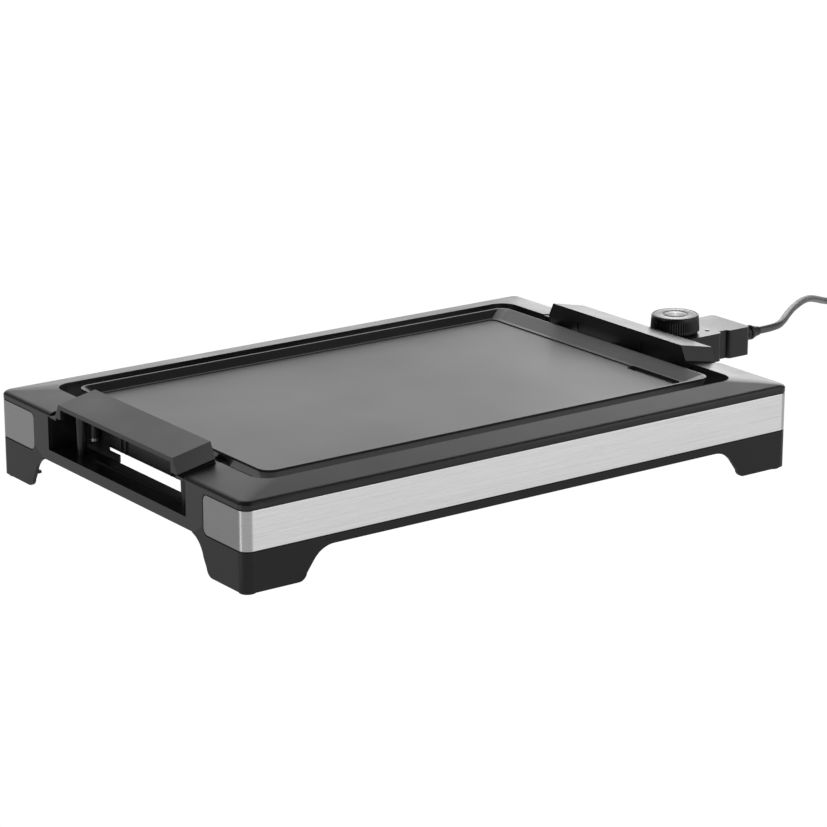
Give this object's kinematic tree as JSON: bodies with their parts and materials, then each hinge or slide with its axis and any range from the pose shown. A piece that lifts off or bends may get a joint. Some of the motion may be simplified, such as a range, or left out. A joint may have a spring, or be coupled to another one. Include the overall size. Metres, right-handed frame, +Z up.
{
  "type": "electric griddle",
  "caption": "Table-top electric griddle: a non-stick plate with end handles in a footed base, with a plug-in temperature controller on a mains cord and a pull-out drip tray.",
  "frame": {"origin": "middle of the base on the surface it stands on, level with the undersides of the rubber pads", "axes": "+X along the long side towards the controller, +Y towards the back, +Z up"},
  "size_m": [1.096, 0.3856, 0.0942],
  "materials": {
    "frame_plastic": "satin moulded, black",
    "foot_plastic": "satin moulded, black",
    "band_steel": "brushed lengthwise",
    "pad_rubber": "matt",
    "screw_steel": "zinc plated",
    "coating": "non-stick coating, finely speckled",
    "tray_plastic": "satin",
    "element_steel": "heat-tinted",
    "sheet_steel": "plain sheet",
    "pin_steel": "bright",
    "ceramic": "unglazed ceramic",
    "brass": "bright",
    "switch_body": "phenolic moulding",
    "lamp_red": "smoked, dark red",
    "knob_plastic": "ribbed black",
    "disc_metal": "spun",
    "cord_pvc": "satin PVC",
    "plug_pvc": "satin PVC"
  },
  "bodies": {
    "base": {"top_frame": "frame_plastic", "inner_skirt": "frame_plastic", "front_rail": "foot_plastic", "rear_rail": "foot_plastic", "front_band": "band_steel", "rear_band": "band_steel", "rubber_feet": "pad_rubber", "base_screws": "screw_steel", "tray_shelf": "tray_plastic"},
    "tray": {"drip_tray": "tray_plastic"},
    "plate": {"griddle_plate": "coating", "left_handle": "frame_plastic", "right_handle": "frame_plastic", "handle_screws": "screw_steel", "heating_element": "element_steel", "element_clips": "sheet_steel", "clip_screws": "screw_steel", "terminal_pins": "pin_steel", "pin_insulators": "ceramic", "socket_guard": "sheet_steel", "guard_screws": "screw_steel"},
    "controller": {"controller_upper": "frame_plastic", "controller_lower": "frame_plastic", "controller_screws": "screw_steel", "contact_sleeves": "brass", "probe_rod": "pin_steel", "thermostat_switch": "switch_body", "lamp_lens": "lamp_red", "cord_clamp": "switch_body", "strain_relief": "plug_pvc", "cord": "cord_pvc", "cord_coil": "cord_pvc", "cord_tie": "plug_pvc", "cord_end": "cord_pvc", "plug_body": "plug_pvc", "plug_pins": "pin_steel"},
    "knob": {"knob": "knob_plastic", "knob_disc": "disc_metal", "knob_shaft": "screw_steel"}
  },
  "joints": [
    {"name": "plate_lift", "type": "slide", "parent": "base", "child": "plate", "axis": [0, 0, 1], "range_m": [0, 0.06]},
    {"name": "tray_slide", "type": "slide", "parent": "base", "child": "tray", "axis": [1, 0, 0], "range_m": [0, 0.095]},
    {"name": "controller_pull", "type": "slide", "parent": "plate", "child": "controller", "axis": [1, 0, 0], "range_m": [0, 0.11]},
    {"name": "knob_turn", "type": "hinge", "parent": "controller", "child": "knob", "pos_m": [0.31, -0.006, 0.0779], "axis": [0, 0, -1], "range_deg": [0, 270]}
  ]
}
